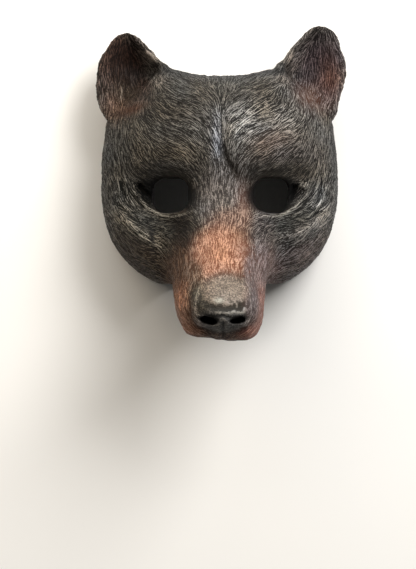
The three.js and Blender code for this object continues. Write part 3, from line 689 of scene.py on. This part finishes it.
class Wire:
    """What comes out of a shader node. Plain arithmetic on it adds Math nodes."""

    def __init__(self, finish, socket):
        self.finish = finish
        self.socket = socket

    def math(self, operation, *values):
        return self.finish.node("ShaderNodeMath", {"operation": operation}, values)

    def __add__(self, other):
        return self.math("ADD", self, other)

    def __sub__(self, other):
        return self.math("SUBTRACT", self, other)

    def __rsub__(self, other):
        return self.math("SUBTRACT", other, self)

    def __mul__(self, other):
        return self.math("MULTIPLY", self, other)

    __radd__ = __add__
    __rmul__ = __mul__

    def rise(self, low, high):
        """0 below low, 1 above high and an even rise between."""
        settings = {"interpolation_type": "SMOOTHSTEP"}
        values = {"Value": self, "From Min": low, "From Max": high}
        return self.finish.node("ShaderNodeMapRange", settings, values)


class Finish:
    """A material and the nodes that make it."""

    # The sockets of a Mix node that mixes colours.
    MIX_FACTOR, MIX_FIRST, MIX_SECOND, MIX_RESULT = 0, 6, 7, 2

    def __init__(self, name, **constants):
        self.material = bpy.data.materials.new(name)
        self.material.use_nodes = True
        self.start(self.material, "Principled BSDF", constants)

    def start(self, holder, shader, constants):
        """Takes the holder's nodes and sets the constants of its shader."""
        self.tree = holder.node_tree
        self.shader = self.tree.nodes[shader]
        for socket, value in constants.items():
            self.shader.inputs[socket.replace("_", " ")].default_value = value

    def put(self, socket, value):
        """Links a wire to the socket, or sets a plain value."""
        if isinstance(value, Wire):
            self.tree.links.new(value.socket, socket)
        else:
            socket.default_value = value

    def node(self, kind, settings=None, values=(), output=0):
        """A node with its settings, then its socket values or links, by order or by name."""
        made = self.tree.nodes.new(kind)
        for name, value in (settings or {}).items():
            setattr(made, name, value)
        pairs = values.items() if isinstance(values, dict) else enumerate(values)
        for socket, value in pairs:
            self.put(made.inputs[socket], value)
        return Wire(self, made.outputs[output])

    def surface(self, **links):
        """Sets what varies over the surface, each under its socket's name."""
        for socket, value in links.items():
            self.put(self.shader.inputs[socket.replace("_", " ")], value)

    def mix(self, factor, first, second, blend="MIX"):
        settings = {"data_type": "RGBA", "blend_type": blend}
        values = {self.MIX_FACTOR: factor, self.MIX_FIRST: first, self.MIX_SECOND: second}
        return self.node("ShaderNodeMix", settings, values, self.MIX_RESULT)

    def attribute(self, name, output="Fac"):
        return self.node("ShaderNodeAttribute", {"attribute_name": name}, (), output)

    def place(self):
        return self.node("ShaderNodeNewGeometry", None, (), "Position")

    def noise(self, place, size, detail):
        values = {"Vector": place, "Scale": 1 / size, "Detail": detail}
        return self.node("ShaderNodeTexNoise", None, values, "Fac")

    def drawn_noise(self, place, lie, width, steps):
        """Noise drawn out along the lie of the hair, centred on 0."""
        total = 0.0
        for step in range(-steps, steps + 1):
            values = (lie, (step * width,) * 3, place)
            spot = self.node("ShaderNodeVectorMath", {"operation": "MULTIPLY_ADD"}, values)
            total = self.noise(spot, width, 0.0) + total
        count = 2 * steps + 1
        return (total - 0.5 * count) * (1 / math.sqrt(count))

    def bump(self, height, distance, strength):
        values = {"Height": height, "Distance": distance, "Strength": strength}
        return self.node("ShaderNodeBump", None, values)


class Backdrop(Finish):
    """The world's light and the nodes that make it."""

    def __init__(self, world):
        self.start(world, "Background", {})


# The painted strokes, finer than the carving: widths and the depth of their bump in metres.
FINE_HAIR_WIDTH = 0.00065
FINE_HAIR_STEPS = 4
FINE_HAIR_STRENGTH = 5.8
FINE_GRAIN_SIZE = 0.0011
FINE_GRAIN_STRENGTH = 1.5
FINE_DEPTH = 0.0006
# Where the light coat starts and is whole, and the same for the glints on the highest strokes, which are
# painted highlights added to their colour.
LIGHT_COAT = (-0.19, 0.56)
GLINTS = (0.42, 0.95)
# Red-brown specks on the bridge: their size in metres, where they start and are whole, and their colour.
SPECK_SIZE = 0.0016
SPECKS = (0.62, 0.72)
SPECK_STRENGTH = 0.75
SPECK_COLOUR = (0.11, 0.033, 0.015, 1)


def painted_fur():
    """Dark paint over carved hair, with light paint dragged over the raised strokes and painted glints on
    the highest.
    """
    paint = Finish("painted_fur", Specular_IOR_Level=0.12, Coat_Roughness=0.35)
    place = paint.place()
    lie = paint.attribute("lie", "Vector")
    hair = paint.drawn_noise(place, lie, FINE_HAIR_WIDTH, FINE_HAIR_STEPS)
    grain = paint.noise(place, FINE_GRAIN_SIZE, 2.0)
    hairy = paint.attribute("hairy")
    brushing = paint.attribute("brushing")

    over = paint.attribute("over", "Color")
    fine = hair * FINE_HAIR_STRENGTH * hairy
    fine = fine + (grain - 0.5) * FINE_GRAIN_STRENGTH * paint.attribute("grainy")
    brushed = (brushing + fine).rise(*LIGHT_COAT)
    colour = paint.mix(brushed, paint.attribute("under", "Color"), over)
    # The glints are painted highlights: the light coat's colour added again on the highest strokes.
    glints = (brushing + fine).rise(*GLINTS) * hairy * (paint.attribute("satin_and_painted_glints") * 0.6 + 0.5)
    colour = paint.mix(glints, colour, over, "ADD")
    specks = paint.noise(place, SPECK_SIZE, 0.0).rise(*SPECKS) * paint.attribute("specks")
    colour = paint.mix(specks * SPECK_STRENGTH, colour, SPECK_COLOUR)
    bump = paint.bump(fine, FINE_DEPTH, 0.8)
    rough = 0.58 - brushed * 0.14 + paint.attribute("dull") * 0.4
    gloss = brushed * (paint.attribute("satin_and_painted_glints") * 0.8 + 0.12)
    paint.surface(Base_Color=colour, Normal=bump, Roughness=rough, Coat_Weight=gloss)
    return paint.material


# The lights look at the face: name, place, size, power, colour.
LIT_PLACE = (0, 0, 0.06)
LIGHTS = (
    ("key", (0.75, 0.85, 1.05), 0.9, 34, (1.0, 0.99, 0.98)),
    ("top", (-0.1, 1.3, 1.0), 1.2, 13, (1.0, 0.98, 0.95)),
    ("warm_fill", (-1.0, 0.85, 0.9), 1.0, 12, (1.0, 0.89, 0.74)),
)

# A pale floor just under the rim. It glows far away, so that low views have a pale ground too.
FLOOR_SIDE = 12.0
FLOOR_HEIGHT = -0.0002
FLOOR_COLOUR = (0.90, 0.885, 0.85, 1)
FLOOR_GLOW = (0.74, 0.73, 0.70, 1)
NO_GLOW = (0, 0, 0, 1)
GLOW_DISTANCES = (0.9, 2.6)

# The world is pale at the horizon and dark above, so that the lights give the shadows.
HORIZON = (0.78, 0.77, 0.74, 1)
OVERHEAD = (0.08, 0.078, 0.076, 1)
SKY_HEIGHTS = (0.03, 0.26)


def area_light(name, place, size, power, colour):
    lamp = bpy.data.lights.new(name, "AREA")
    lamp.size = size
    lamp.energy = power
    lamp.color = colour
    holder = bpy.data.objects.new(name, lamp)
    holder.location = place
    step = np.array(LIT_PLACE, float) - np.array(place, float)
    step /= np.linalg.norm(step)
    holder.rotation_euler = (math.acos(-step[2]), 0, math.atan2(step[1], step[0]) - math.pi / 2)
    bpy.context.scene.collection.objects.link(holder)


def studio():
    """The floor, the world and the lights."""
    mesh = bpy.data.meshes.new("floor")
    half = FLOOR_SIDE / 2
    corners = [(x, y, FLOOR_HEIGHT) for x, y in ((-half, -half), (half, -half), (half, half), (-half, half))]
    mesh.from_pydata(corners, [], [(0, 1, 2, 3)])
    floor = bpy.data.objects.new("floor", mesh)
    bpy.context.scene.collection.objects.link(floor)
    pale = Finish("pale_floor", Base_Color=FLOOR_COLOUR, Roughness=0.9, Emission_Strength=1.0)
    away = pale.node("ShaderNodeVectorMath", {"operation": "LENGTH"}, (pale.place(),), "Value")
    pale.surface(Emission_Color=pale.mix(away.rise(*GLOW_DISTANCES), NO_GLOW, FLOOR_GLOW))
    mesh.materials.append(pale.material)

    world = bpy.data.worlds.new("studio")
    world.use_nodes = True
    backdrop = Backdrop(world)
    direction = backdrop.node("ShaderNodeTexCoord", None, (), "Generated")
    height = backdrop.node("ShaderNodeSeparateXYZ", None, (direction,), "Z")
    backdrop.surface(Color=backdrop.mix(height.rise(*SKY_HEIGHTS), HORIZON, OVERHEAD))
    bpy.context.scene.world = world
    for light in LIGHTS:
        area_light(*light)


def photo_camera():
    """The camera that looks at the face as the photograph does."""
    lens = bpy.data.cameras.new("photo_view")
    lens.sensor_fit = "VERTICAL"
    lens.sensor_height = SENSOR_HEIGHT
    lens.lens = SENSOR_HEIGHT * FOCAL_PIXELS / PHOTO_HEIGHT
    camera = bpy.data.objects.new("photo_view", lens)
    camera.location = CAMERA_PLACE
    bpy.context.scene.collection.objects.link(camera)
    bpy.context.scene.camera = camera


photo_camera()
studio()
bpy.context.scene.view_settings.view_transform = "Standard"

carved = make_shell()
carved.mesh.materials.append(painted_fur())
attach(carved.object, "root")
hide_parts("mask_shell")
